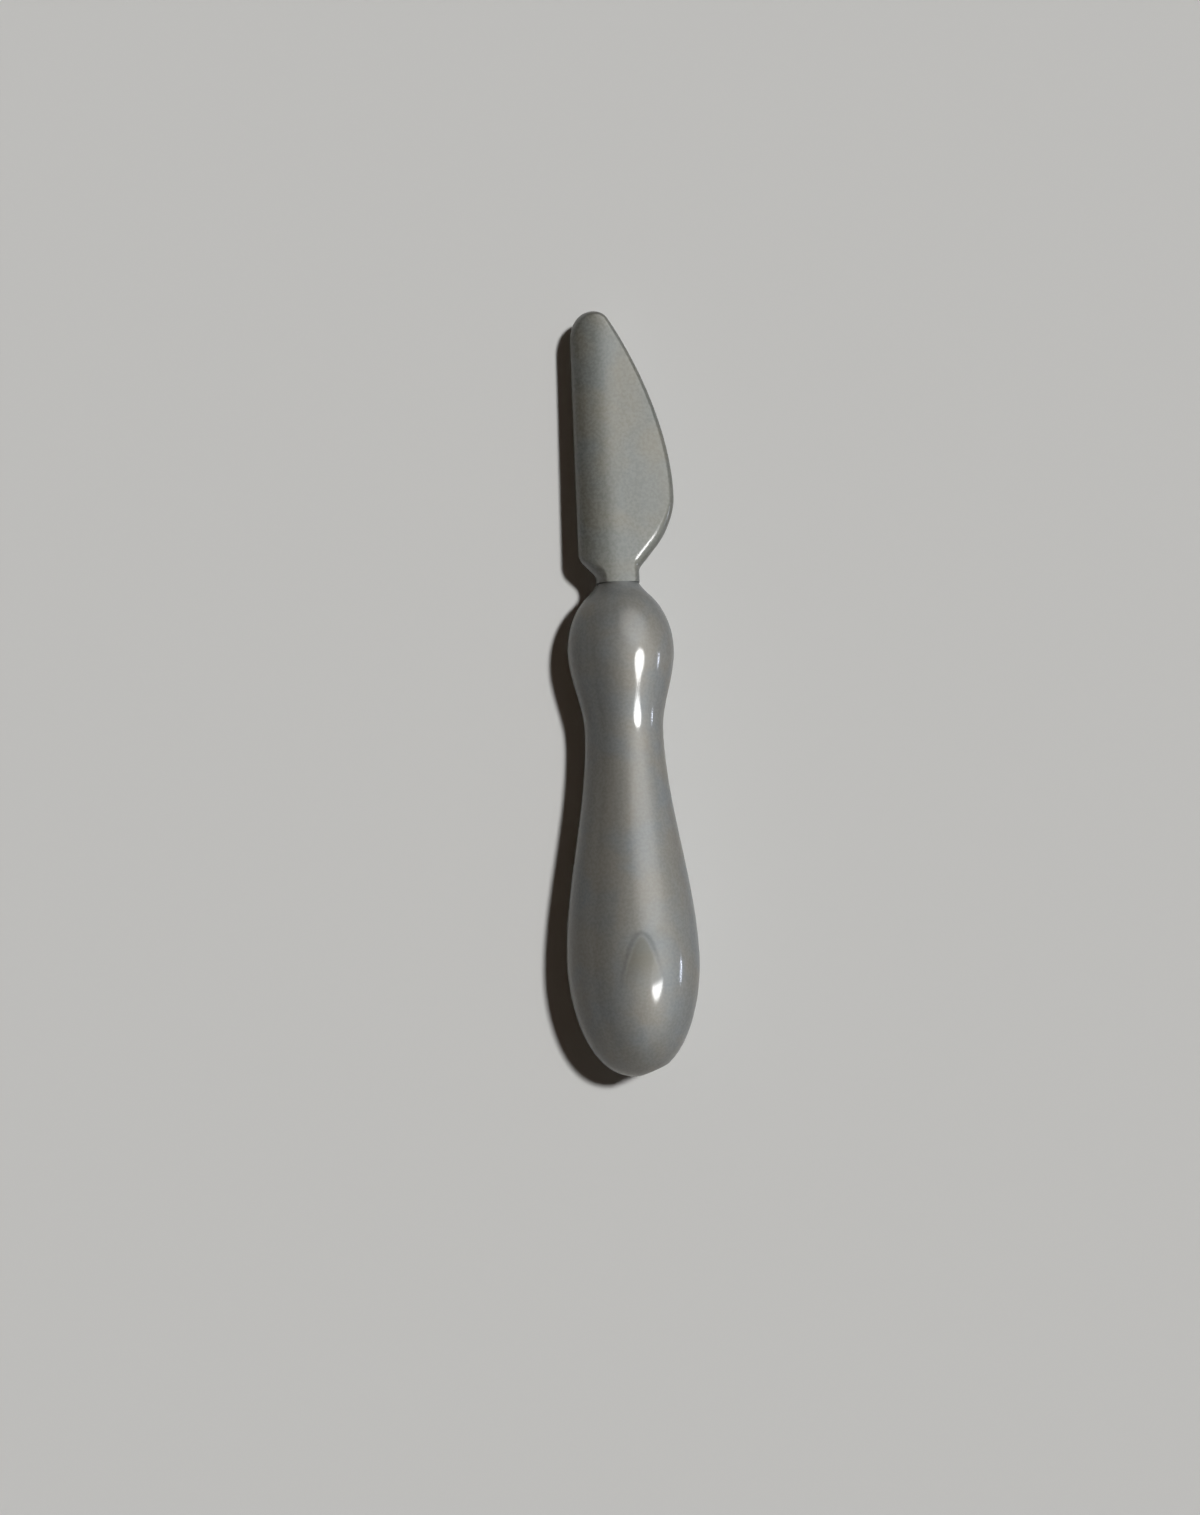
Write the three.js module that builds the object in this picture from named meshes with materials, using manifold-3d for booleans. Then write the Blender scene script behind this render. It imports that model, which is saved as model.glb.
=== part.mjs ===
// A miniature kitchen knife moulded in pearl-grey plastic: a blade with a hidden tang, and a round
// handle moulded over that tang. Millimetres. +Y runs from the butt to the tip, the cutting edge
// faces +X, the spine faces -X, and +Z is up from the knife lying on its side. The handle's axis
// lies in the plane x = 0. The origin is midway along the knife, level with the underside of the
// grip bulb.

import * as THREE from 'three';
import { mergeVertices } from 'three/addons/utils/BufferGeometryUtils.js';
import Module from 'manifold-3d';

const { degToRad, lerp, mapLinear, smoothstep } = THREE.MathUtils;

// Handle: radii, and the lengths along the axis between its widest and thinnest places
const GRIP_RADIUS = 2.65;
const WAIST_RADIUS = 1.57;
const BULB_RADIUS = 2.13;
const BUTT_TO_GRIP = 4.56;
const GRIP_TO_WAIST = 9.2;
const WAIST_TO_BULB = 3.2;
const BULB_TO_MOUTH = 2.74;
const BUTT_FULLNESS = 2.1;
const GRIP_FULLNESS = 1.4;
const MOUTH_FLARE = 0.15;
const MOUTH_WALL = 0.13;

// The flat where the sprue was trimmed off the butt, on the cutting edge's side
const GATE_TILT = degToRad(21.5);
const GATE_DEPTH = 0.14;

// Blade outline: offsets from the handle's axis, and heights above the handle's mouth
const BLADE_LENGTH = 10.96;
const SPINE_OFFSET = 1.55;
const BELLY_OFFSET = 2.4;
const BELLY_HEIGHT = 3.46;
const TIP_OFFSET = 0.63;
const TIP_DROP = 1.21;
const TIP_SLOPE = degToRad(33);
const TIP_CORNER = 0.4;
const NECK_WIDTH = 1.72;
const NECK_EDGE_LENGTH = 0.56;
const NECK_SPINE_LENGTH = 0.28;
const HEEL_SLOPE = degToRad(50);
const HEEL_FILLET = 0.16;
const HEEL_RUN = 1;
const SPINE_HEEL_SLOPE = degToRad(45);
const SPINE_HEEL_CORNER = 0.24;
const SPINE_HEEL_FILLET = 0.14;

// Blade section: its thickness by the neck, at the spine's line and at the cutting edge, how far each
// flank closes in from the neck to the tip, how far from the spine each flank starts to bend down to
// it, the bar's margin, and the width of the rounding along each stretch of the rim, seen from above
const SPINE_THICKNESS = 1.9;
const EDGE_THICKNESS = 1;
const TIP_TAPER = 0.13;
const SPINE_BEND = 1.6;
const BAR_MARGIN = 0.01;
const NECK_EDGE_ROUNDING = 0.32;
const HEEL_ROUNDING = 0.55;
const EDGE_ROUNDING = 0.28;
const TIP_ROUNDING = 0.25;
const NECK_SPINE_ROUNDING = 0.3;

// Tang, its keying hole, and the clearance that the handle leaves around both
const TANG_LENGTH = 8;
const TANG_WIDTH = 1;
const TANG_END_WIDTH = 0.8;
const TANG_THICKNESS = 0.6;
const KEY_RADIUS = 0.27;
const KEY_DEPTH = 2.6;
const SOCKET_CLEARANCE = 0.08;

// How finely the round forms are cut into facets
const TURN_FACETS = 56;
const PROFILE_FACETS = 9;
const OUTLINE_FACETS = 10;
const RIM_FACETS = 16;
const BEND_FACETS = 14;
const KEY_FACETS = 12;

// Places that follow from the sizes above
const WAIST_STATION = BUTT_TO_GRIP + GRIP_TO_WAIST;
const BULB_STATION = WAIST_STATION + WAIST_TO_BULB;
const HANDLE_LENGTH = BULB_STATION + BULB_TO_MOUTH;
const BUTT_Y = -(HANDLE_LENGTH + BLADE_LENGTH) / 2;
const MOUTH_Y = BUTT_Y + HANDLE_LENGTH;
const AXIS_Z = GRIP_RADIUS;
const NECK_HALF = NECK_WIDTH / 2;
const SOCKET_HALF_WIDTH = TANG_WIDTH / 2 + SOCKET_CLEARANCE;
const SOCKET_HALF_HEIGHT = TANG_THICKNESS / 2 + SOCKET_CLEARANCE;
const MOUTH_RADIUS = Math.hypot(SOCKET_HALF_WIDTH, SOCKET_HALF_HEIGHT) + MOUTH_WALL;

const wasm = await Module();
wasm.setup();

// Turns a closed geometry into a solid: shares its vertices and drops the slivers at a lathe's poles.
function toSolid(geometry) {
  const bare = new THREE.BufferGeometry();
  bare.setAttribute('position', geometry.getAttribute('position'));
  bare.setIndex(geometry.getIndex());
  const shared = mergeVertices(bare, 1e-5);
  const corners = Array.from(shared.getIndex().array);
  const triangles = [];
  for (let i = 0; i < corners.length; i += 3) {
    const triangle = corners.slice(i, i + 3);
    if (new Set(triangle).size === 3) triangles.push(...triangle);
  }
  return new wasm.Manifold(new wasm.Mesh({
    numProp: 3,
    vertProperties: new Float32Array(shared.getAttribute('position').array),
    triVerts: new Uint32Array(triangles),
  }));
}

function toMesh(name, solid, look) {
  const { vertProperties, triVerts } = solid.getMesh();
  const geometry = new THREE.BufferGeometry();
  geometry.setAttribute('position', new THREE.BufferAttribute(vertProperties, 3));
  geometry.setIndex(new THREE.BufferAttribute(triVerts, 1));
  geometry.computeVertexNormals();
  const mesh = new THREE.Mesh(geometry, new THREE.MeshStandardMaterial(look));
  mesh.name = name;
  return mesh;
}

// Handle

// Adds an S-shaped run to the profile, parallel to the axis at both of its ends.
function swell(profile, fromRadius, fromStation, toRadius, toStation) {
  const reach = (toStation - fromStation) / 3;
  profile.bezierCurveTo(
    fromRadius, fromStation + reach, toRadius, toStation - reach, toRadius, toStation);
}

// The handle's half profile: radius against the distance from the butt, along the skin from the
// middle of the butt to the middle of the mouth.
function handleProfile() {
  const profile = new THREE.Path();
  profile.moveTo(0, 0);
  profile.bezierCurveTo(
    BUTT_FULLNESS, 0, GRIP_RADIUS, BUTT_TO_GRIP - GRIP_FULLNESS, GRIP_RADIUS, BUTT_TO_GRIP);
  swell(profile, GRIP_RADIUS, BUTT_TO_GRIP, WAIST_RADIUS, WAIST_STATION);
  swell(profile, WAIST_RADIUS, WAIST_STATION, BULB_RADIUS, BULB_STATION);

  // The bulb's nose is an ellipse that gives way to a short cone just before the mouth
  const noseEnd = Math.acos((MOUTH_RADIUS + MOUTH_FLARE) / BULB_RADIUS);
  profile.absellipse(0, BULB_STATION, BULB_RADIUS, BULB_TO_MOUTH, 0, noseEnd, false);
  profile.lineTo(MOUTH_RADIUS, HANDLE_LENGTH);
  profile.lineTo(0, HANDLE_LENGTH);
  return profile.getPoints(PROFILE_FACETS);
}

// A block whose near face is the sprue's trimmed flat: it stands square to the tilt, at the trimmed
// depth below the butt's outermost point in that direction.
function gateTrim(profile) {
  const reach = (point) => point.x * Math.sin(GATE_TILT) - point.y * Math.cos(GATE_TILT);
  const flat = Math.max(...profile.map(reach)) - GATE_DEPTH;
  const side = 4 * GRIP_RADIUS;
  const block = new THREE.BoxGeometry(side, side, side);
  block.translate(0, -flat - side / 2, 0);
  block.rotateZ(GATE_TILT);
  block.translate(0, BUTT_Y, AXIS_Z);
  return toSolid(block);
}

function handle() {
  const profile = handleProfile();
  const turned = new THREE.LatheGeometry(profile, TURN_FACETS);
  turned.translate(0, BUTT_Y, AXIS_Z);
  return toSolid(turned).subtract(gateTrim(profile)).subtract(tang(SOCKET_CLEARANCE));
}

// Blade

// The tang as a flat plate, grown by a clearance on every side, with its keying hole shrunk by it.
// Its root runs on past the mouth, into the neck.
function tang(clearance) {
  const half = TANG_WIDTH / 2 + clearance;
  const endHalf = TANG_END_WIDTH / 2 + clearance;
  const endCentre = MOUTH_Y - TANG_LENGTH + TANG_END_WIDTH / 2;
  const root = MOUTH_Y + NECK_SPINE_LENGTH;
  const outline = new THREE.Shape();
  outline.moveTo(half, root);
  outline.lineTo(-half, root);
  outline.lineTo(-half, MOUTH_Y);
  outline.absarc(0, endCentre, endHalf, Math.PI, 2 * Math.PI, false);
  outline.lineTo(half, MOUTH_Y);
  const key = new THREE.Path();
  key.absarc(0, MOUTH_Y - KEY_DEPTH, KEY_RADIUS - clearance, 0, 2 * Math.PI, true);
  outline.holes.push(key);

  const depth = TANG_THICKNESS + 2 * clearance;
  const plate = new THREE.ExtrudeGeometry(outline, {
    depth, bevelEnabled: false, curveSegments: KEY_FACETS,
  });
  plate.translate(0, 0, AXIS_Z - depth / 2);
  return toSolid(plate);
}

// The blade's outline, counter-clockwise from the neck on the cutting edge's side, round the tip, to
// the neck on the spine's side. Each stretch comes with the rim's rounding at its end.
function bladeStretches() {
  const up = Math.PI / 2;
  const point = (x, height) => new THREE.Vector2(x, MOUTH_Y + height);
  const from = (start, angle, run) =>
    new THREE.Vector2(start.x + run * Math.cos(angle), start.y + run * Math.sin(angle));
  const line = (start, end) => new THREE.LineCurve(start, end);
  const turn = (start, corner, end) => new THREE.QuadraticBezierCurve(start, corner, end);
  const sweep = (start, startAngle, end, endAngle) => {
    const reach = (end.y - start.y) / 3;
    return new THREE.CubicBezierCurve(
      start, from(start, startAngle, reach), from(end, endAngle, -reach), end);
  };

  const heelCorner = point(NECK_HALF, NECK_EDGE_LENGTH);
  const neckTop = from(heelCorner, up, -HEEL_FILLET);
  const heelFoot = from(heelCorner, HEEL_SLOPE, HEEL_FILLET);
  const heelTop = from(heelFoot, HEEL_SLOPE, HEEL_RUN);
  const belly = point(BELLY_OFFSET, BELLY_HEIGHT);
  const tip = point(-TIP_OFFSET, BLADE_LENGTH);
  const tipCorner = from(tip, 0, TIP_CORNER);
  const tipFoot = from(tipCorner, up + TIP_SLOPE, -TIP_CORNER);

  const spineTop = point(-SPINE_OFFSET, BLADE_LENGTH - TIP_DROP);
  const shoulder = SPINE_OFFSET - NECK_HALF;
  const neckCorner = point(-NECK_HALF, NECK_SPINE_LENGTH);
  const spineCorner = from(neckCorner, up, shoulder * Math.tan(SPINE_HEEL_SLOPE));
  spineCorner.x = -SPINE_OFFSET;
  const downSlope = -SPINE_HEEL_SLOPE;
  const spineFoot = from(spineCorner, up, SPINE_HEEL_CORNER);
  const slopeTop = from(spineCorner, downSlope, SPINE_HEEL_CORNER);
  const slopeFoot = from(neckCorner, downSlope, -SPINE_HEEL_FILLET);
  const neckFoot = from(neckCorner, up, -SPINE_HEEL_FILLET);

  const tipTurn = new THREE.EllipseCurve(
    tip.x, spineTop.y, tip.x - spineTop.x, TIP_DROP, up, 2 * up);
  const slope = line(slopeTop, slopeFoot);
  const neckSpine = line(neckFoot, point(-NECK_HALF, 0));
  return [
    { curve: line(point(NECK_HALF, 0), neckTop), rounding: NECK_EDGE_ROUNDING },
    { curve: turn(neckTop, heelCorner, heelFoot), rounding: HEEL_ROUNDING },
    { curve: line(heelFoot, heelTop), rounding: HEEL_ROUNDING },
    { curve: sweep(heelTop, HEEL_SLOPE, belly, up), rounding: EDGE_ROUNDING },
    { curve: sweep(belly, up, tipFoot, up + TIP_SLOPE), rounding: TIP_ROUNDING },
    { curve: turn(tipFoot, tipCorner, tip), rounding: TIP_ROUNDING },
    { curve: tipTurn, rounding: TIP_ROUNDING },
    { curve: line(spineTop, spineFoot), rounding: TIP_ROUNDING },
    { curve: turn(spineFoot, spineCorner, slopeTop), rounding: TIP_ROUNDING },
    { curve: slope, rounding: NECK_SPINE_ROUNDING },
    { curve: turn(slopeFoot, neckCorner, neckFoot), rounding: NECK_SPINE_ROUNDING },
    { curve: neckSpine, rounding: NECK_SPINE_ROUNDING },
  ];
}

// Half the blade's thickness: both flanks are flat, and close in from the spine to the cutting edge
// and from the neck to the tip.
function halfThickness(x, y) {
  const wedge = mapLinear(x, -SPINE_OFFSET, BELLY_OFFSET, SPINE_THICKNESS, EDGE_THICKNESS) / 2;
  return wedge - mapLinear(y, MOUTH_Y, MOUTH_Y + BLADE_LENGTH, 0, TIP_TAPER);
}

// One arch of the rim, from the lower flank round the outline to the upper flank.
function rimArch(place, inward, rounding) {
  return Array.from({ length: RIM_FACETS + 1 }, (_, step) => {
    const angle = Math.PI * (step / RIM_FACETS - 0.5);
    const inset = rounding * (1 - Math.cos(angle));
    const x = place.x + inset * inward.x;
    const y = place.y + inset * inward.y;
    return new THREE.Vector3(x, y, AXIS_Z + halfThickness(x, y) * Math.sin(angle));
  });
}

function rimArches() {
  const arches = [];
  let start = NECK_EDGE_ROUNDING;
  for (const { curve, rounding } of bladeStretches()) {
    const steps = curve.isLineCurve && rounding === start ? 1 : OUTLINE_FACETS;
    for (let step = arches.length ? 1 : 0; step <= steps; step += 1) {
      const t = step / steps;
      const tangent = curve.getTangent(t);
      const inward = new THREE.Vector2(-tangent.y, tangent.x);
      arches.push(rimArch(curve.getPoint(t), inward, lerp(start, rounding, smoothstep(t, 0, 1))));
    }
    start = rounding;
  }
  return arches;
}

// The blade above the mouth before its flanks are bent: its rim closed by two flat flanks and, across
// the neck, by the shoulder that seats on the handle's mouth.
function bladeBlank() {
  const arches = rimArches();
  const size = RIM_FACETS + 1;
  const at = (arch, step) => (arch % arches.length) * size + step;
  const triangles = [];
  for (let arch = 0; arch < arches.length; arch += 1) {
    for (let step = 0; step < RIM_FACETS; step += 1) {
      const [a, b] = [at(arch, step), at(arch + 1, step)];
      triangles.push(a, b, b + 1, a, b + 1, a + 1);
    }
  }
  const upperFlank = arches.map((arch) => new THREE.Vector2(arch[RIM_FACETS].x, arch[RIM_FACETS].y));
  for (const [a, b, c] of THREE.ShapeUtils.triangulateShape(upperFlank, [])) {
    triangles.push(at(a, RIM_FACETS), at(b, RIM_FACETS), at(c, RIM_FACETS));
    triangles.push(at(a, 0), at(c, 0), at(b, 0));
  }
  const geometry = new THREE.BufferGeometry().setFromPoints(arches.flat());
  geometry.setIndex(triangles);
  return toSolid(geometry);
}

// A bar along the whole blade whose spine side is the bend: an elliptic arch from the upper flank
// round the spine to the lower one, which follows the flanks' wedge and taper. Away from the spine the
// bar is thicker than the blade. A small margin makes its skin cross the blank's, not just touch it.
function spineBar() {
  const bendStart = SPINE_BEND - SPINE_OFFSET;
  const clear = 2 * BELLY_OFFSET;
  const section = (y) => {
    const arch = Array.from({ length: 2 * BEND_FACETS + 1 }, (_, step) => {
      const angle = (Math.PI / 2) * (1 - step / BEND_FACETS);
      const x = bendStart - (SPINE_BEND + BAR_MARGIN) * Math.cos(angle);
      const height = (halfThickness(x, y) + BAR_MARGIN) * Math.sin(angle);
      return new THREE.Vector3(x, y, AXIS_Z + height);
    });
    const low = new THREE.Vector3(clear, y, arch[2 * BEND_FACETS].z);
    const high = new THREE.Vector3(clear, y, arch[0].z);
    return [...arch, low, high];
  };
  const near = section(MOUTH_Y - 1);
  const far = section(MOUTH_Y + BLADE_LENGTH + 1);
  const size = near.length;
  const triangles = [];
  for (let a = 0; a < size; a += 1) {
    const b = (a + 1) % size;
    triangles.push(a, a + size, b + size, a, b + size, b);
  }
  const outline = near.map(({ x, z }) => new THREE.Vector2(x, z));
  for (const [a, b, c] of THREE.ShapeUtils.triangulateShape(outline, [])) {
    triangles.push(a, b, c);
    triangles.push(a + size, c + size, b + size);
  }
  const geometry = new THREE.BufferGeometry().setFromPoints([...near, ...far]);
  geometry.setIndex(triangles);
  return toSolid(geometry);
}

function blade() {
  return bladeBlank().intersect(spineBar()).add(tang(0));
}

const knife = new THREE.Group();
knife.add(toMesh('blade', blade(), { color: 0x6e706a, roughness: 0.4, metalness: 0.3 }));
knife.add(toMesh('handle', handle(), { color: 0x6e706a, roughness: 0.4, metalness: 0.3 }));

export default knife;
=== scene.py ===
"""Looks of a miniature kitchen knife moulded in pearl-grey plastic.

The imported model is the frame: metres, +Y from the butt to the tip, the cutting edge towards +X,
the blade's middle plane level. The sizes below are in millimetres, and a mesh turns to metres
when it is finished. The camera stands where the photograph was taken from.
"""

import logging
import math
from dataclasses import dataclass
from enum import Enum
from itertools import pairwise

import bmesh
import bpy
from bmesh.types import BMEdge, BMesh, BMVert
from bpy.types import Material, Node, NodeSocket, NodeTree, Object
from mathutils import Matrix, Vector
from mathutils.geometry import interpolate_bezier as curve


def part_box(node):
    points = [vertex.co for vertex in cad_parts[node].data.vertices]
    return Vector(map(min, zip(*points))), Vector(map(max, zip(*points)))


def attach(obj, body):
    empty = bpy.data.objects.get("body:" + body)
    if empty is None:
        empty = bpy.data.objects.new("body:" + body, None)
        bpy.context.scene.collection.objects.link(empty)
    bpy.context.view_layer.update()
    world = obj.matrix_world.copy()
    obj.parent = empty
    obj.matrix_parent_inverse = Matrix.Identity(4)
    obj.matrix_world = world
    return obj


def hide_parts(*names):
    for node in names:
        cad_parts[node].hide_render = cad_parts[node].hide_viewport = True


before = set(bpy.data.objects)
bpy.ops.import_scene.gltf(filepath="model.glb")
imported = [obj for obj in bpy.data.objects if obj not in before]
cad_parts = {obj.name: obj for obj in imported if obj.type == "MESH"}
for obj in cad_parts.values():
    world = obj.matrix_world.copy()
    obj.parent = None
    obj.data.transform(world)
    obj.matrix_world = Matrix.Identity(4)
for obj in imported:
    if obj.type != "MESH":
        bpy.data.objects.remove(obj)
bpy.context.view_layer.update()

log = logging.getLogger("knife")

MM = 0.001  # metres to the millimetre
MERGE = 1e-4  # millimetres within which two vertices are one
BODY = "root"  # the knife's one body
AXIS_HEIGHT = 2.65  # millimetres from the frame's origin up to the handle's axis
ABS_IOR = 1.54  # refractive index of ABS
WAVE_RATE = 20  # radians that a wave texture turns by in each unit of length, at a scale of 1
ELLIPSE = 2.0  # power of an ellipse's curve; a higher one gives a fuller shoulder


# Shared helpers


def linear(code: str) -> tuple[float, float, float, float]:
    """Turns an sRGB hex colour into the linear colour that Blender's sockets take.

    Args:
        code: The colour as "#rrggbb".

    Returns:
        Linear red, green, blue and an alpha of 1.
    """
    channels = [int(code[i : i + 2], 16) / 255 for i in (1, 3, 5)]
    red, green, blue = (
        c / 12.92 if c <= 0.04045 else ((c + 0.055) / 1.055) ** 2.4 for c in channels
    )
    return red, green, blue, 1.0


def add_node(
    tree: NodeTree, kind: str, inputs: dict[str | int, object] | None = None, **settings: object
) -> Node:
    """Adds a node to a tree, with its settings, its input values and its links.

    Args:
        tree: The node tree that gets the node.
        kind: The node's Blender type name.
        inputs: Per input name or number, a value to set or what to link from: a socket, or a
            node that gives its first output in use.
        **settings: Properties of the node itself.

    Returns:
        The new node.
    """
    node = tree.nodes.new(kind)
    for name, value in settings.items():
        setattr(node, name, value)
    for key, value in (inputs or {}).items():
        if isinstance(value, Node):
            value = next(output for output in value.outputs if output.enabled)
        if isinstance(value, NodeSocket):
            tree.links.new(value, node.inputs[key])
        else:
            node.inputs[key].default_value = value
    return node


def blank_material(name: str) -> tuple[Material, NodeTree]:
    """Makes a material with an empty node tree.

    Args:
        name: The material's name.

    Returns:
        The material and its tree.
    """
    material = bpy.data.materials.new(name)
    material.use_nodes = True
    material.node_tree.nodes.clear()
    return material, material.node_tree


def line(start: Vector, end: Vector, points: int) -> list[Vector]:
    """Returns that many points along a straight run."""
    return curve(start, start.lerp(end, 1 / 3), start.lerp(end, 2 / 3), end, points)


def turn(start: Vector, corner: Vector, end: Vector, points: int) -> list[Vector]:
    """Returns that many points along a turn that rounds off a corner."""
    return curve(start, start.lerp(corner, 2 / 3), end.lerp(corner, 2 / 3), end, points)


def ease(t: float) -> float:
    """Returns t eased in and out between 0 and 1."""
    return t * t * (3 - 2 * t)


def finish_mesh(bm: BMesh, name: str, sharp_angle: float) -> Object:
    """Turns a bmesh in millimetres into a smooth object in metres, at the origin.

    Args:
        bm: The shape. It is freed.
        name: The object's name.
        sharp_angle: Edges that turn by more than this, in radians, stay crisp.

    Returns:
        The object, linked to the scene.
    """
    bmesh.ops.remove_doubles(bm, verts=bm.verts, dist=MERGE)
    bmesh.ops.recalc_face_normals(bm, faces=bm.faces)
    bmesh.ops.scale(bm, vec=(MM, MM, MM), verts=bm.verts)
    for face in bm.faces:
        face.smooth = True
    mesh = bpy.data.meshes.new(name)
    bm.to_mesh(mesh)
    bm.free()
    mesh.set_sharp_from_angle(angle=sharp_angle)
    obj = bpy.data.objects.new(name, mesh)
    bpy.context.scene.collection.objects.link(obj)
    return obj


# Finishes


@dataclass(frozen=True)
class FlowLine:
    """The line where two streams of melt met: an arch on the upper side of the grip.

    Places and lengths are seen from above. The pair of a fade says where it starts and ends.

    Attributes:
        apex: Where its top lies.
        spread: How fast its legs part, as the drop per square of half its width.
        reach: Half its width where the legs have faded out.
        leg_fade: The share of that half width's square at which they start to fade.
        width: How far from its middle the line fades out.
        depth: How far it darkens the plastic, from 0 to 1.
        colour: The colour that it darkens towards.
        tint: The colour that the plastic inside the arch leans to.
        tint_share: How far it leans, from 0 to 1.
        tint_fade: How far inside the line it leans that far.
        tint_end: The fade of the tint towards the butt, along the knife from the apex.
        dull_centre: The middle of the dull patch beside it.
        dull_half: Half the patch's width and length.
        dull_slant: How far its ends rise along the knife, for each millimetre across.
        dull_power: The power of its outline's curve: above an ellipse's, for straighter sides.
        dull_fade: The fade of its edge, where 1 is its outline.
        dulling: How much of the clear skin's gloss the patch lacks, from 0 to 1.
    """

    apex: tuple[float, float] = (-0.12, -9.62)
    spread: float = 2.5
    reach: float = 1.0
    leg_fade: float = 0.3
    width: float = 0.16
    depth: float = 0.36
    colour: str = "#2c2c2a"
    tint: str = "#56544a"
    tint_share: float = 0.6
    tint_fade: float = 0.3
    tint_end: tuple[float, float] = (-2.4, -0.9)
    dull_centre: tuple[float, float] = (0.35, -10.6)
    dull_half: tuple[float, float] = (0.75, 1.15)
    dull_slant: float = 0.5
    dull_power: float = 4.0
    dull_fade: tuple[float, float] = (0.3, 1.3)
    dulling: float = 0.95


@dataclass(frozen=True)
class PearlPlastic:
    """Pearl-grey ABS, injection moulded in a polished mould.

    Mica flakes in the melt give a soft metallic sheen that follows the light, under a clear skin
    that shows small sharp highlights. The flakes lie in faint streaks along the flow, and turn the
    grey a little warmer or cooler in patches. Flakes are about 0.02 mm across and too fine to
    show, so they are drawn coarser.

    Attributes:
        name: The material's name.
        warm_colour: The grey of the warm patches.
        cool_colour: The grey of the cool patches.
        streak_colour: The grey that the streaks lean to.
        flake_glint_colour: The lighter grey that paints the glint of a flake lying level with the
            skin.
        flake_glint_share: How far the plastic leans to that colour there, from 0 to 1.
        flake_glint_range: The flakes' values between which it comes to lean that far.
        flake_size: How large a flake is drawn.
        flake_height: How high one tilts out of the skin.
        flake_tilt: How much of that tilt shows, from 0 to 1.
        metallic: How metallic the flakes make the plastic, from 0 to 1.
        roughness: The roughness of their sheen.
        roughness_play: How far it varies from flake to flake, up and down.
        skin: The clear skin's weight.
        skin_roughness: Its roughness.
        skin_ior: Its refractive index.
        streak_width: The width of a streak.
        streak_length: Its length along the knife.
        patch_size: The size of a warm or cool patch.
        patch_range: The patches' values between which the grey turns from warm to cool.
        ripple_size: The length of the skin's slow ripple.
        ripple_height: Its height.
        flow_line: The flow line that the piece shows, if any.
    """

    name: str
    warm_colour: str = "#76726a"
    cool_colour: str = "#6c7174"
    streak_colour: str = "#656561"
    flake_glint_colour: str = "#a3a5a1"
    flake_glint_share: float = 0.12
    flake_glint_range: tuple[float, float] = (0.3, 0.7)
    flake_size: float = 0.12
    flake_height: float = 0.002
    flake_tilt: float = 0.15
    metallic: float = 0.65
    roughness: float = 0.7
    roughness_play: float = 0.05
    skin: float = 0.5
    skin_roughness: float = 0.12
    skin_ior: float = 1.5
    streak_width: float = 0.9
    streak_length: float = 5.0
    patch_size: float = 1.8
    patch_range: tuple[float, float] = (0.38, 0.62)
    ripple_size: float = 2.2
    ripple_height: float = 0.006
    flow_line: FlowLine | None = None

    def material(self) -> Material:
        """Builds the material.

        Returns:
            The material, with its patterns on Object coordinates.
        """
        material, tree = blank_material(self.name)
        place = add_node(tree, "ShaderNodeTexCoord").outputs["Object"]
        flakes = add_node(tree, "ShaderNodeTexNoise", {
            "Vector": place, "Scale": 1 / (self.flake_size * MM), "Detail": 1.0,
        })
        # Lighter flecks: painted glints of level flakes, and a fine mottling of the pearl
        colour = self.paint_flake_glints(tree, flakes, self.streaks(tree, place))
        if self.flow_line:
            colour = self.draw_flow_line(tree, place, colour)
        ripple = self.ripple(tree, place)
        roughness = add_node(tree, "ShaderNodeMapRange", {
            "Value": flakes,
            "To Min": self.roughness - self.roughness_play,
            "To Max": self.roughness + self.roughness_play,
        })
        sparkle = add_node(tree, "ShaderNodeBump", {
            "Height": flakes, "Strength": self.flake_tilt,
            "Distance": self.flake_height * MM, "Normal": ripple,
        })
        shader = add_node(tree, "ShaderNodeBsdfPrincipled", {
            "Base Color": colour,
            "Metallic": self.metallic,
            "Roughness": roughness,
            "IOR": ABS_IOR,
            "Coat Weight": self.dull_skin(tree, place) if self.flow_line else self.skin,
            "Coat Roughness": self.skin_roughness,
            "Coat IOR": self.skin_ior,
            "Normal": sparkle,
            "Coat Normal": ripple,
        })
        add_node(tree, "ShaderNodeOutputMaterial", {"Surface": shader})
        return material

    def streaks(self, tree: NodeTree, place: NodeSocket) -> Node:
        """Colours the plastic in warm and cool patches, with faint streaks along the flow.

        Args:
            tree: The material's tree.
            place: Object coordinates.

        Returns:
            The colour.
        """
        across = 1 / (self.streak_width * MM)
        along = 1 / (self.streak_length * MM)
        stretched = add_node(tree, "ShaderNodeMapping", {
            "Vector": place, "Scale": (across, along, across),
        })
        streaks = add_node(tree, "ShaderNodeTexNoise", {
            "Vector": stretched, "Scale": 1.0, "Detail": 3.0, "Distortion": 0.6,
        })
        patches = add_node(tree, "ShaderNodeTexNoise", {
            "Vector": place, "Scale": 1 / (self.patch_size * MM), "Detail": 2.0, "Distortion": 0.4,
        })
        coolness = add_node(tree, "ShaderNodeMapRange", {
            "Value": patches, "From Min": self.patch_range[0], "From Max": self.patch_range[1],
        })
        grey = add_node(tree, "ShaderNodeMix", {
            "Factor": coolness, "A": linear(self.warm_colour), "B": linear(self.cool_colour),
        }, data_type="RGBA")
        return add_node(tree, "ShaderNodeMix", {
            "Factor": streaks, "A": grey, "B": linear(self.streak_colour),
        }, data_type="RGBA")

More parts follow.
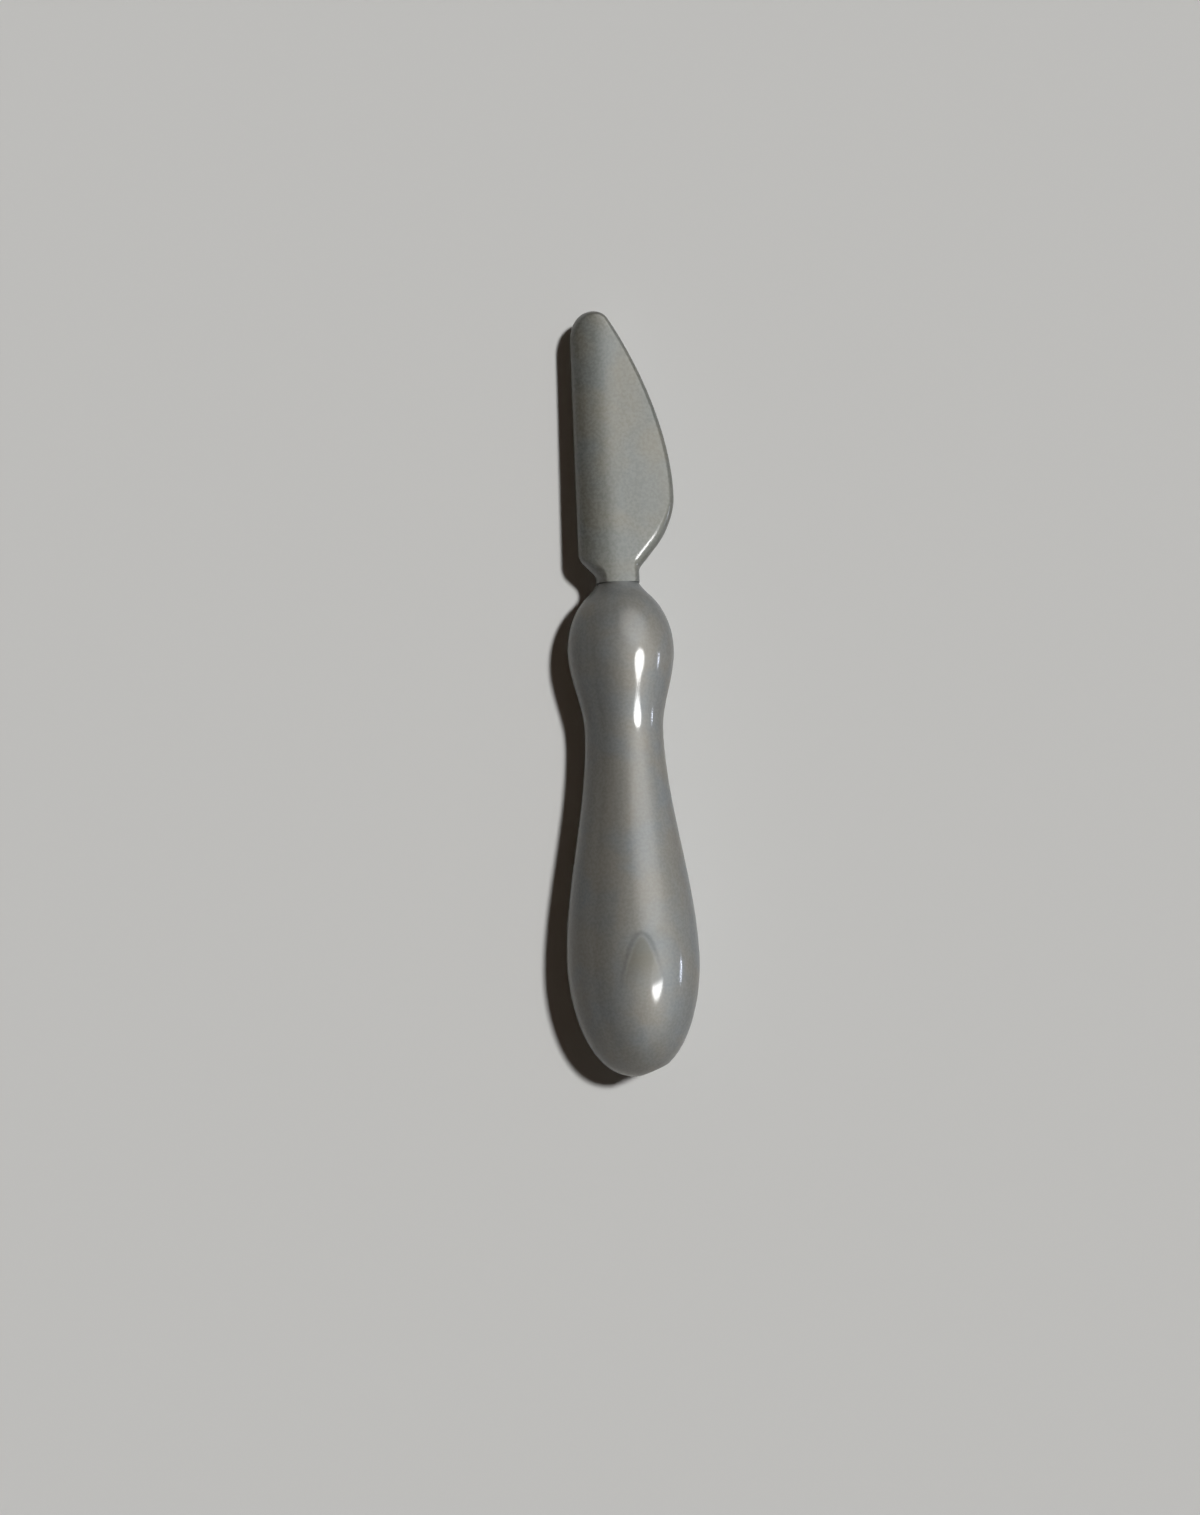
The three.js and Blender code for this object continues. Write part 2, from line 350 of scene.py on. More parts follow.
    def paint_flake_glints(self, tree: NodeTree, flakes: Node, colour: Node) -> Node:
        """Paints glints: a lighter grey where a flake lies level, which also mottles the pearl.

        Args:
            tree: The material's tree.
            flakes: The flakes' values.
            colour: The colour without them.

        Returns:
            The colour with them.
        """
        share = add_node(tree, "ShaderNodeMapRange", {
            "Value": flakes, "From Min": self.flake_glint_range[0], "From Max": self.flake_glint_range[1],
            "To Max": self.flake_glint_share,
        }, interpolation_type="SMOOTHSTEP")
        return add_node(tree, "ShaderNodeMix", {
            "Factor": share, "A": colour, "B": linear(self.flake_glint_colour),
        }, data_type="RGBA")

    def draw_flow_line(self, tree: NodeTree, place: NodeSocket, colour: Node) -> Node:
        """Darkens the colour along the flow line's arch and tints it inside.

        Args:
            tree: The material's tree.
            place: Object coordinates.
            colour: The colour without the line.

        Returns:
            The colour with it.
        """
        arch = self.flow_line
        across, along, upper = self.from_point(tree, place, arch.apex)
        square = add_node(tree, "ShaderNodeMath", {0: across, 1: across}, operation="MULTIPLY")
        # The gap to the arch along the knife, over the root of 1 plus its slope squared, is about
        # the gap square to the arch.
        gap = add_node(tree, "ShaderNodeMath", {
            0: square, 1: arch.spread, 2: along,
        }, operation="MULTIPLY_ADD")
        steep = add_node(tree, "ShaderNodeMath", {
            0: square, 1: (2 * arch.spread) ** 2, 2: 1.0,
        }, operation="MULTIPLY_ADD")
        root = add_node(tree, "ShaderNodeMath", {0: steep}, operation="SQRT")
        off = add_node(tree, "ShaderNodeMath", {0: gap, 1: root}, operation="DIVIDE")
        either_side = add_node(tree, "ShaderNodeMath", {0: off}, operation="ABSOLUTE")
        stroke, legs, inside, ending = (
            add_node(tree, "ShaderNodeMapRange", {
                "Value": value, "From Min": start, "From Max": end, "To Min": first, "To Max": last,
            }, interpolation_type="SMOOTHSTEP")
            for value, start, end, first, last in (
                (either_side, 0.0, arch.width, arch.depth, 0.0),
                (square, arch.leg_fade * arch.reach**2, arch.reach**2, 1.0, 0.0),
                (off, -arch.tint_fade, 0.0, arch.tint_share, 0.0),
                (along, *arch.tint_end, 0.0, 1.0),
            )
        )
        for form, end, code in ((inside, ending, arch.tint), (stroke, legs, arch.colour)):
            drawn = add_node(tree, "ShaderNodeMath", {0: form, 1: end}, operation="MULTIPLY")
            share = add_node(tree, "ShaderNodeMath", {0: drawn, 1: upper}, operation="MULTIPLY")
            colour = add_node(tree, "ShaderNodeMix", {
                "Factor": share, "A": colour, "B": linear(code),
            }, data_type="RGBA")
        return colour

    def dull_skin(self, tree: NodeTree, place: NodeSocket) -> Node:
        """Takes gloss off the clear skin in the dull patch beside the flow line.

        Args:
            tree: The material's tree.
            place: Object coordinates.

        Returns:
            The clear skin's weight.
        """
        patch = self.flow_line
        across, along, upper = self.from_point(tree, place, patch.dull_centre)
        risen = add_node(tree, "ShaderNodeMath", {
            0: across, 1: -patch.dull_slant, 2: along,
        }, operation="MULTIPLY_ADD")
        powers = []
        for run, half in zip((across, risen), patch.dull_half):
            share = add_node(tree, "ShaderNodeMath", {0: run, 1: half}, operation="DIVIDE")
            powers.append(add_node(tree, "ShaderNodeMath", {
                0: share, 1: patch.dull_power,
            }, operation="POWER"))
        outline = add_node(tree, "ShaderNodeMath", dict(enumerate(powers)), operation="ADD")
        dull = add_node(tree, "ShaderNodeMapRange", {
            "Value": outline, "From Min": patch.dull_fade[0], "From Max": patch.dull_fade[1],
            "To Min": patch.dulling, "To Max": 0.0,
        }, interpolation_type="SMOOTHSTEP")
        lost = add_node(tree, "ShaderNodeMath", {0: dull, 1: upper}, operation="MULTIPLY")
        kept = add_node(tree, "ShaderNodeMath", {0: 1.0, 1: lost}, operation="SUBTRACT")
        return add_node(tree, "ShaderNodeMath", {0: kept, 1: self.skin}, operation="MULTIPLY")

    def from_point(
        self, tree: NodeTree, place: NodeSocket, point: tuple[float, float]
    ) -> tuple[Node, Node, Node]:
        """Measures from a point on the upper side, seen from above.

        Args:
            tree: The material's tree.
            place: Object coordinates.
            point: The point, in millimetres.

        Returns:
            The distances across and along the knife, in millimetres, and 1 on the upper side and
            0 below it.
        """
        axes = add_node(tree, "ShaderNodeSeparateXYZ", {"Vector": place}).outputs
        across, along = (
            add_node(tree, "ShaderNodeMath", {
                0: axes[axis], 1: 1 / MM, 2: -start,
            }, operation="MULTIPLY_ADD")
            for axis, start in zip("XY", point)
        )
        upper = add_node(tree, "ShaderNodeMath", {
            0: axes["Z"], 1: AXIS_HEIGHT * MM,
        }, operation="GREATER_THAN")
        return across, along, upper

    def ripple(self, tree: NodeTree, place: NodeSocket) -> Node:
        """Makes the slow unevenness of a moulded skin, which bends its highlights a little.

        Args:
            tree: The material's tree.
            place: Object coordinates.

        Returns:
            The bumped normal.
        """
        noise = add_node(tree, "ShaderNodeTexNoise", {
            "Vector": place, "Scale": 1 / (self.ripple_size * MM), "Detail": 2.0,
        })
        return add_node(tree, "ShaderNodeBump", {
            "Height": noise, "Strength": 1.0, "Distance": self.ripple_height * MM,
        })


@dataclass(frozen=True)
class TrimmedPlastic:
    """The same plastic where a blade cut the sprue off: matt, paler, with fine shear marks.

    Attributes:
        name: The material's name.
        colour: The colour between the marks.
        mark_colour: The colour of a mark.
        metallic: How metallic the cut flakes leave it, from 0 to 1.
        roughness: Its roughness.
        mark_spacing: The distance between two marks.
        mark_depth: Their depth.
        mark_strength: How much of that depth shows, from 0 to 1.
    """

    name: str
    colour: str = "#8f908c"
    mark_colour: str = "#777874"
    metallic: float = 0.3
    roughness: float = 0.75
    mark_spacing: float = 0.12
    mark_depth: float = 0.01
    mark_strength: float = 0.5

    def material(self) -> Material:
        """Builds the material.

        Returns:
            The material, with its shear marks across the cut.
        """
        material, tree = blank_material(self.name)
        place = add_node(tree, "ShaderNodeTexCoord").outputs["Object"]
        marks = add_node(tree, "ShaderNodeTexWave", {
            "Vector": place, "Scale": math.tau / (WAVE_RATE * self.mark_spacing * MM),
            "Distortion": 3.0, "Detail": 2.0,
        }, bands_direction="Z").outputs["Fac"]
        colour = add_node(tree, "ShaderNodeMix", {
            "Factor": marks, "A": linear(self.colour), "B": linear(self.mark_colour),
        }, data_type="RGBA")
        bump = add_node(tree, "ShaderNodeBump", {
            "Height": marks, "Strength": self.mark_strength, "Distance": self.mark_depth * MM,
        })
        shader = add_node(tree, "ShaderNodeBsdfPrincipled", {
            "Base Color": colour,
            "Metallic": self.metallic,
            "Roughness": self.roughness,
            "IOR": ABS_IOR,
            "Normal": bump,
        })
        add_node(tree, "ShaderNodeOutputMaterial", {"Surface": shader})
        return material


@dataclass(frozen=True)
class StudioPaper:
    """Matt studio paper, pale to the camera and in reflections, and darker as a source of light.

    Attributes:
        name: The material's name.
        colour: Its colour to the camera and in reflections.
        stray_colour: Its colour where it lights the knife from below.
    """

    name: str
    colour: str = "#d8d8d6"
    stray_colour: str = "#6c6c6a"

    def material(self) -> Material:
        """Builds the material.

        Returns:
            The material.
        """
        material, tree = blank_material(self.name)
        path = add_node(tree, "ShaderNodeLightPath").outputs
        seen = path["Is Camera Ray"]
        for ray in ("Is Glossy Ray", "Is Transmission Ray"):
            seen = add_node(tree, "ShaderNodeMath", {0: seen, 1: path[ray]}, operation="MAXIMUM")
        colour = add_node(tree, "ShaderNodeMix", {
            "Factor": seen, "A": linear(self.stray_colour), "B": linear(self.colour),
        }, data_type="RGBA")
        paper = add_node(tree, "ShaderNodeBsdfDiffuse", {"Color": colour})
        add_node(tree, "ShaderNodeOutputMaterial", {"Surface": paper})
        return material


# The knife


@dataclass(frozen=True)
class PartingLine:
    """The fine ridge that the joint between two mould halves leaves around a moulding."""

    half_width: float = 0.035
    height: float = 0.016

    def raise_on(self, bm: BMesh, level: float) -> None:
        """Cuts narrow strips along the mould's joint and lifts their middle.

        Args:
            bm: The closed shape, in millimetres.
            level: The height of the joint's level plane.
        """
        for offset in (-2, -1, 0, 1, 2):
            bmesh.ops.bisect_plane(
                bm, geom=bm.verts[:] + bm.edges[:] + bm.faces[:], dist=MERGE,
                plane_co=(0, 0, level + offset * self.half_width), plane_no=(0, 0, 1),
            )
        bm.normal_update()
        for vert in bm.verts:
            if abs(vert.co.z - level) < MERGE:
                vert.co += vert.normal * self.height


@dataclass
class Handle:
    """The round handle: a grip bulb, a thin waist and a small front bulb.

    Radii are taken from the axis. Lengths run along it, between the widest and thinnest places.
    The gate is the flat on the butt where the sprue was trimmed off. Edges that turn by more than
    the sharp angle stay crisp.
    """

    grip_radius: float = 2.65
    waist_radius: float = 1.57
    bulb_radius: float = 2.13
    mouth_radius: float = 0.823
    butt_to_grip: float = 4.56
    grip_to_waist: float = 9.2
    waist_to_bulb: float = 3.2
    bulb_to_mouth: float = 2.74
    butt_fullness: float = 2.1
    grip_fullness: float = 1.4
    mouth_flare: float = 0.42
    gate_tilt: float = math.radians(21.5)
    gate_depth: float = 0.14
    gate_lip: float = 0.04
    steps_round: int = 160
    steps_along: int = 28
    sharp_angle: float = math.radians(50)
    parting_line: PartingLine = PartingLine()
    skin: PearlPlastic = PearlPlastic("pearl_abs_moulded_handle", flow_line=FlowLine())
    cut: TrimmedPlastic = TrimmedPlastic("pearl_abs_trimmed_gate")

    def make(self) -> Object:
        """Builds and dresses the handle in place of its CAD node.

        Returns:
            The handle.
        """
        low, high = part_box("handle")
        butt = high[1] / MM - self.length()
        handle = self.build(butt, axis=(low[2] + high[2]) / 2 / MM)
        handle.data.materials.append(self.skin.material())
        handle.data.materials.append(self.cut.material())
        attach(handle, BODY)
        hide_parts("handle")
        return handle

    def length(self) -> float:
        """Returns the handle's length from butt to mouth."""
        return self.butt_to_grip + self.grip_to_waist + self.waist_to_bulb + self.bulb_to_mouth

    def profile(self) -> list[Vector]:
        """Draws the half profile along the skin, from the middle of the butt to that of the mouth.

        Returns:
            Points of radius against distance from the butt.
        """
        grip = Vector((self.grip_radius, self.butt_to_grip))
        waist = Vector((self.waist_radius, grip.y + self.grip_to_waist))
        bulb = Vector((self.bulb_radius, waist.y + self.waist_to_bulb))
        mouth = Vector((self.mouth_radius, self.length()))
        n = self.steps_along

        points = curve(
            Vector((0, 0)), Vector((self.butt_fullness, 0)),
            grip - Vector((0, self.grip_fullness)), grip, n,
        )
        for start, end in pairwise((grip, waist, bulb)):
            reach = Vector((0, (end.y - start.y) / 3))
            points += curve(start, start + reach, end - reach, end, n)

        # The bulb's nose is an ellipse that runs out in a soft flare at the mouth
        nose_end = math.acos((self.mouth_radius + self.mouth_flare) / self.bulb_radius)
        for step in range(n + 1):
            angle = nose_end * step / n
            points.append(bulb + Vector((
                self.bulb_radius * (math.cos(angle) - 1), self.bulb_to_mouth * math.sin(angle),
            )))
        slant = Vector((
            -self.bulb_radius * math.sin(nose_end), self.bulb_to_mouth * math.cos(nose_end),
        ))
        half_way = (mouth.y - points[-1].y) / 2
        points += turn(points[-1], points[-1] + slant * (half_way / slant.y), mouth, n // 2)
        points.append(Vector((0, mouth.y)))
        return points

    def build(self, butt: float, axis: float) -> Object:
        """Turns the profile about the axis, raises the parting line and trims the sprue's flat.

        Args:
            butt: The butt's place along the knife.
            axis: The axis's height.

        Returns:
            The handle's object.
        """
        profile = self.profile()
        bm = bmesh.new()
        skin = [bm.verts.new((point.x, butt + point.y, axis)) for point in profile]
        for pair in pairwise(skin):
            bm.edges.new(pair)
        bmesh.ops.spin(
            bm, geom=bm.verts[:] + bm.edges[:], cent=(0, 0, axis), axis=(0, 1, 0),
            angle=math.tau, steps=self.steps_round, use_merge=True,
        )
        bmesh.ops.remove_doubles(bm, verts=bm.verts, dist=MERGE)
        bmesh.ops.recalc_face_normals(bm, faces=bm.faces)
        self.parting_line.raise_on(bm, axis)
        self.trim_gate(bm, profile, Vector((0, butt, axis)))
        return finish_mesh(bm, "handle_moulded", self.sharp_angle)

    def trim_gate(self, bm: BMesh, profile: list[Vector], butt: Vector) -> None:
        """Cuts the flat where the sprue was trimmed off, with a soft lip round it.

        Args:
            bm: The turned handle.
            profile: Its half profile.
            butt: The middle of the butt.
        """
        outward = Vector((math.sin(self.gate_tilt), -math.cos(self.gate_tilt), 0))
        furthest = max(point.x * outward.x + point.y * outward.y for point in profile)
        cut = bmesh.ops.bisect_plane(
            bm, geom=bm.verts[:] + bm.edges[:] + bm.faces[:], dist=MERGE,
            plane_co=butt + outward * (furthest - self.gate_depth), plane_no=outward,
            clear_outer=True,
        )
        rim = [part for part in cut["geom_cut"] if isinstance(part, BMEdge)]
        flat = bmesh.ops.contextual_create(bm, geom=rim)["faces"]
        bmesh.ops.inset_individual(bm, faces=flat, thickness=self.gate_lip, use_even_offset=True)
        for face in flat:
            face.material_index = 1


@dataclass(frozen=True)
class Stretch:
    """A stretch of the blade's outline.

    Attributes:
        points: Its points, seen from above.
        rounding: How wide the rim's rounding is at its end.
        fullness: The power of the rounding's curve at its end.
    """

    points: list[Vector]
    rounding: float
    fullness: float = ELLIPSE


@dataclass(frozen=True)
class RimPlace:
    """A place on the blade's outline.

    Attributes:
        point: Where it is, seen from above.
        inward: The direction into the blade there.
        rounding: How far the rim's rounding reaches in from the outline.
        fullness: The power of that rounding's curve.
    """

    point: Vector
    inward: Vector
    rounding: float
    fullness: float


@dataclass
class Blade:
    """The flat blade, with a straight thick spine, a curved belly and a rounded rim.

    Offsets are taken from the handle's axis, heights from its mouth. Each rounding is the width of
    the rounded rim along that stretch, seen from above. The flanks bend down to the spine over the
    width of the spine's bend, straight through to the tip, and would meet at the spine's land, just
    past the outline. Edges that turn by more than the sharp angle stay crisp.
    """

    length: float = 10.96
    spine_offset: float = 1.55
    belly_offset: float = 2.4
    belly_height: float = 3.46
    tip_offset: float = 0.63
    tip_drop: float = 1.21
    tip_slope: float = math.radians(33)
    tip_corner: float = 0.4
    neck_half: float = 0.86
    neck_edge_length: float = 0.56
    neck_spine_length: float = 0.28
    heel_slope: float = math.radians(50)
    heel_fillet: float = 0.16
    spine_heel_corner: float = 0.24
    spine_heel_fillet: float = 0.14
    spine_thickness: float = 1.9
    edge_thickness: float = 1.0
    tip_taper: float = 0.13
    crown: float = 0.03
    spine_bend: float = 1.6
    spine_land: float = 0.01
    neck_edge_rounding: float = 0.32
    heel_rounding: float = 0.55
    heel_fullness: float = 3.0
    heel_run: float = 1.0
    edge_rounding: float = 0.28
    tip_rounding: float = 0.25
    spine_rounding: float = 0.1
    neck_spine_rounding: float = 0.3
    steps_along: int = 32
    steps_neck: int = 4
    steps_round: int = 14
    steps_bend: int = 16
    flank_grid: float = 0.3
    sharp_angle: float = math.radians(60)
    parting_line: PartingLine = PartingLine()
    # The blade's plastic is a darker copy of the handle's: painted shade against its flank's sheen
    skin: PearlPlastic = PearlPlastic(
        "pearl_abs_blade_painted_shade", warm_colour="#656258", cool_colour="#5d6160",
        streak_colour="#53544e", skin=0.58,
    )

    def make(self) -> Object:
        """Builds and dresses the blade in place of its CAD node.

        Returns:
            The blade.
        """
        low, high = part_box("handle")
        blade = self.build(mouth=high[1] / MM, level=(low[2] + high[2]) / 2 / MM)
        blade.data.materials.append(self.skin.material())
        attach(blade, BODY)
        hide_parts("blade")
        return blade

    def stretches(self) -> list[Stretch]:
        """Draws the outline from the neck on the edge's side, round the tip, to the spine's side.

        Returns:
            The outline's stretches in order.
        """
        n = self.steps_along

        def ahead(start: Vector, angle: float, run: float) -> Vector:
            """Returns the point that lies a run away from the start, in that direction."""
            return start + run * Vector((math.cos(angle), math.sin(angle)))

        def sweep(start: Vector, leave: float, end: Vector, arrive: float) -> list[Vector]:
            """Returns a long curve that leaves and arrives in those directions."""
            reach = (end.y - start.y) / 3
            return curve(start, ahead(start, leave, reach), ahead(end, arrive, -reach), end, n)

        # The direction along the knife, and the 45 degrees at which the spine's heel slopes
        up = math.pi / 2
        down = -math.pi / 4
        heel_corner = Vector((self.neck_half, self.neck_edge_length))
        neck_top = ahead(heel_corner, up, -self.heel_fillet)
        heel_foot = ahead(heel_corner, self.heel_slope, self.heel_fillet)
        heel_top = ahead(heel_foot, self.heel_slope, self.heel_run)
        belly = Vector((self.belly_offset, self.belly_height))
        tip = Vector((-self.tip_offset, self.length))
        tip_corner = ahead(tip, 0, self.tip_corner)
        tip_foot = ahead(tip_corner, up + self.tip_slope, -self.tip_corner)

        spine_top = Vector((-self.spine_offset, self.length - self.tip_drop))
        neck_corner = Vector((-self.neck_half, self.neck_spine_length))
        shoulder = self.spine_offset - self.neck_half
        spine_corner = neck_corner + Vector((-shoulder, shoulder))
        spine_foot = ahead(spine_corner, up, self.spine_heel_corner)
        slope_top = ahead(spine_corner, down, self.spine_heel_corner)
        slope_foot = ahead(neck_corner, down, -self.spine_heel_fillet)
        neck_foot = ahead(neck_corner, up, -self.spine_heel_fillet)

        # A quarter of an ellipse, as a cubic curve, joins the tip to the spine
        round_off = 0.5523
        tip_turn = curve(
            tip, tip.lerp(Vector((spine_top.x, tip.y)), round_off),
            spine_top.lerp(Vector((spine_top.x, tip.y)), round_off), spine_top, n,
        )
        edge_start = Vector((self.neck_half, 0))
        spine_end = Vector((-self.neck_half, 0))
        heel_rim = (self.heel_rounding, self.heel_fullness)
        return [
            Stretch(line(edge_start, neck_top, self.steps_neck), self.neck_edge_rounding),
            Stretch(turn(neck_top, heel_corner, heel_foot, n // 2), *heel_rim),
            Stretch(line(heel_foot, heel_top, n // 2), *heel_rim),
            Stretch(sweep(heel_top, self.heel_slope, belly, up), self.edge_rounding),
            Stretch(sweep(belly, up, tip_foot, up + self.tip_slope), self.tip_rounding),
            Stretch(turn(tip_foot, tip_corner, tip, n // 2), self.tip_rounding),
            Stretch(tip_turn, self.spine_rounding),
            Stretch(line(spine_top, spine_foot, n), self.spine_rounding),
            Stretch(turn(spine_foot, spine_corner, slope_top, n // 2), self.spine_rounding),
            Stretch(line(slope_top, slope_foot, n // 2), self.neck_spine_rounding),
            Stretch(turn(slope_foot, neck_corner, neck_foot, n // 2), self.neck_spine_rounding),
            Stretch(line(neck_foot, spine_end, self.steps_neck), self.neck_spine_rounding),
        ]

    def rim_places(self) -> list[RimPlace]:
        """Walks the outline and gives each place its inward direction and rounding.

        Returns:
            The places in order, from neck to neck.
        """
        points: list[Vector] = []
        rims: list[Vector] = []
        rim = Vector((self.neck_edge_rounding, ELLIPSE))
        for stretch in self.stretches():
            end = Vector((stretch.rounding, stretch.fullness))
            last = len(stretch.points) - 1
            for step in range(1 if points else 0, last + 1):
                points.append(stretch.points[step])
                rims.append(rim.lerp(end, ease(step / last)))
            rim = end

        places = []
        last = len(points) - 1
        for i, point in enumerate(points):
            along = (points[min(i + 1, last)] - points[max(i - 1, 0)]).normalized()
            places.append(RimPlace(point, Vector((-along.y, along.x)), *rims[i]))
        return places

    def half_thickness(self, seen: Vector) -> float:
        """Gives half the blade's thickness: a wedge with a slight crown, thinner towards the tip.

        Args:
            seen: The place, seen from above.

        Returns:
            The height of the flank there above the middle plane, bent down near the spine.
        """
        share = (seen.x + self.spine_offset) / (self.spine_offset + self.belly_offset)
        wedge = self.spine_thickness + (self.edge_thickness - self.spine_thickness) * share
        taper = self.tip_taper * seen.y / self.length
        arc = 4 * share * (1 - share)
        flank = wedge / 2 + self.crown * arc - taper
        into_bend = max(0.0, self.spine_bend - self.spine_offset - seen.x)
        return flank * math.sqrt(1 - (into_bend / (self.spine_bend + self.spine_land)) ** 2)

    def build(self, mouth: float, level: float) -> Object:
        """Lofts the upper half of the rim, closes its flank, and mirrors it below the middle plane.

        Args:
            mouth: The place of the handle's mouth along the knife.
            level: The height of the blade's middle plane.

        Returns:
            The blade's object.
        """
        bm = bmesh.new()
        flank_edge = self.loft_rim(bm)
        self.close_flank(bm, flank_edge)
        bmesh.ops.mirror(
            bm, geom=bm.verts[:] + bm.edges[:] + bm.faces[:], axis="Z", merge_dist=MERGE
        )
        bmesh.ops.remove_doubles(bm, verts=bm.verts, dist=MERGE)
        open_edges = [edge for edge in bm.edges if edge.is_boundary]
        bmesh.ops.contextual_create(bm, geom=open_edges)
        bmesh.ops.recalc_face_normals(bm, faces=bm.faces)
        self.parting_line.raise_on(bm, 0.0)
        bmesh.ops.translate(bm, vec=(0, mouth, level), verts=bm.verts)
        return finish_mesh(bm, "blade_moulded", self.sharp_angle)

    def loft_rim(self, bm: BMesh) -> list[BMEdge]:
        """Raises the outline in rings, from the middle plane up to the flank.

        Args:
            bm: The empty bmesh.

        Returns:
            The edges of the uppermost ring.
        """
        places = self.rim_places()
        number = bm.verts.layers.int.new("place")
        outline = [bm.verts.new((*place.point, 0)) for place in places]
        for i, vert in enumerate(outline):
            vert[number] = i
        ring = [bm.edges.new(pair) for pair in pairwise(outline)]
        for step in range(1, self.steps_round + 1):
            angle = math.pi / 2 * step / self.steps_round
            raised = bmesh.ops.extrude_edge_only(bm, edges=ring)["geom"]
            for vert in (part for part in raised if isinstance(part, BMVert)):
                place = places[vert[number]]
                power = ELLIPSE / place.fullness
                inset = place.rounding * (1 - math.cos(angle) ** power)
                seen = place.point + place.inward * inset
                vert.co = (*seen, self.half_thickness(seen) * math.sin(angle) ** power)
            ring = [part for part in raised if isinstance(part, BMEdge)]
        return ring

    def close_flank(self, bm: BMesh, rim: list[BMEdge]) -> None:
        """Fills the flank inside the rim, and cuts it into a grid that follows bend and crown.

        Args:
            bm: The lofted rim.
            rim: The edges round the flank.
        """
        mark = bm.faces.layers.int.new("flank")
        ends = [vert for edge in rim for vert in edge.verts if len(vert.link_edges) == 2]
        closing = bm.edges.new(ends)
        for face in bmesh.ops.contextual_create(bm, geom=[*rim, closing])["faces"]:
            face[mark] = 1
        bend_start = self.spine_bend - self.spine_offset
        columns = math.ceil((self.belly_offset - bend_start) / self.flank_grid)
        rows = math.ceil(self.length / self.flank_grid)
        across, along = Vector((1, 0, 0)), Vector((0, 1, 0))
        cuts = [
            (across, bend_start - self.spine_bend * math.cos(math.pi / 2 * step / self.steps_bend))
            for step in range(1, self.steps_bend + 1)
        ]
        cuts += [(across, bend_start + step * self.flank_grid) for step in range(1, columns)]
        cuts += [(along, step * self.flank_grid) for step in range(1, rows)]
        for normal, offset in cuts:
            flank = [face for face in bm.faces if face[mark]]
            edges = dict.fromkeys(edge for face in flank for edge in face.edges)
            verts = dict.fromkeys(vert for face in flank for vert in face.verts)
            bmesh.ops.bisect_plane(
                bm, geom=[*verts, *edges, *flank], dist=MERGE,
                plane_co=normal * offset, plane_no=normal,
            )
        for vert in {vert for face in bm.faces if face[mark] for vert in face.verts}:
            vert.co.z = self.half_thickness(vert.co)


# The studio


class LampRole(Enum):
    """What a lamp gives: form and shadow, or highlights alone. The value is its Blender type."""

    MODELLING = "SUN"
    HIGHLIGHT = "AREA"


@dataclass(frozen=True)
class Lamp:
    """A studio lamp.

    Attributes:
        name: The lamp's name.
        role: What it gives.
        towards: The direction from the knife to the lamp, in the knife's own axes.
        strength: Its strength: irradiance for the modelling lamp, power for a highlight lamp.
        spread: Its width and its length along the knife in degrees, seen from the knife.
        colour: Its colour.
    """

    name: str
    role: LampRole
    towards: tuple[float, float, float]
    strength: float
    spread: tuple[float, float]
    colour: str = "#ffffff"

    def build(self, aim: Vector, distance: float) -> Object:
        """Hangs the lamp and points it at the knife.

        Args:
            aim: The point that it lights, in metres.
            distance: How far off it hangs, in metres.

        Returns:
            The lamp's object.
        """
        away = Vector(self.towards).normalized()
        modelling = self.role is LampRole.MODELLING
        data = bpy.data.lights.new(self.name, self.role.value)
        data.energy = self.strength
        data.color = linear(self.colour)[:3]
        if modelling:
            data.angle = math.radians(self.spread[0])
        else:
            data.shape = "ELLIPSE"
            data.size, data.size_y = (
                2 * distance * math.tan(math.radians(angle) / 2) for angle in self.spread
            )
        lamp = bpy.data.objects.new(self.name, data)
        lamp.location = aim + away * distance
        lamp.rotation_euler = away.to_track_quat("Z", "X").to_euler()
        lamp.visible_camera = False
        lamp.visible_glossy = not modelling
        lamp.visible_diffuse = modelling
        bpy.context.scene.collection.objects.link(lamp)
        return lamp


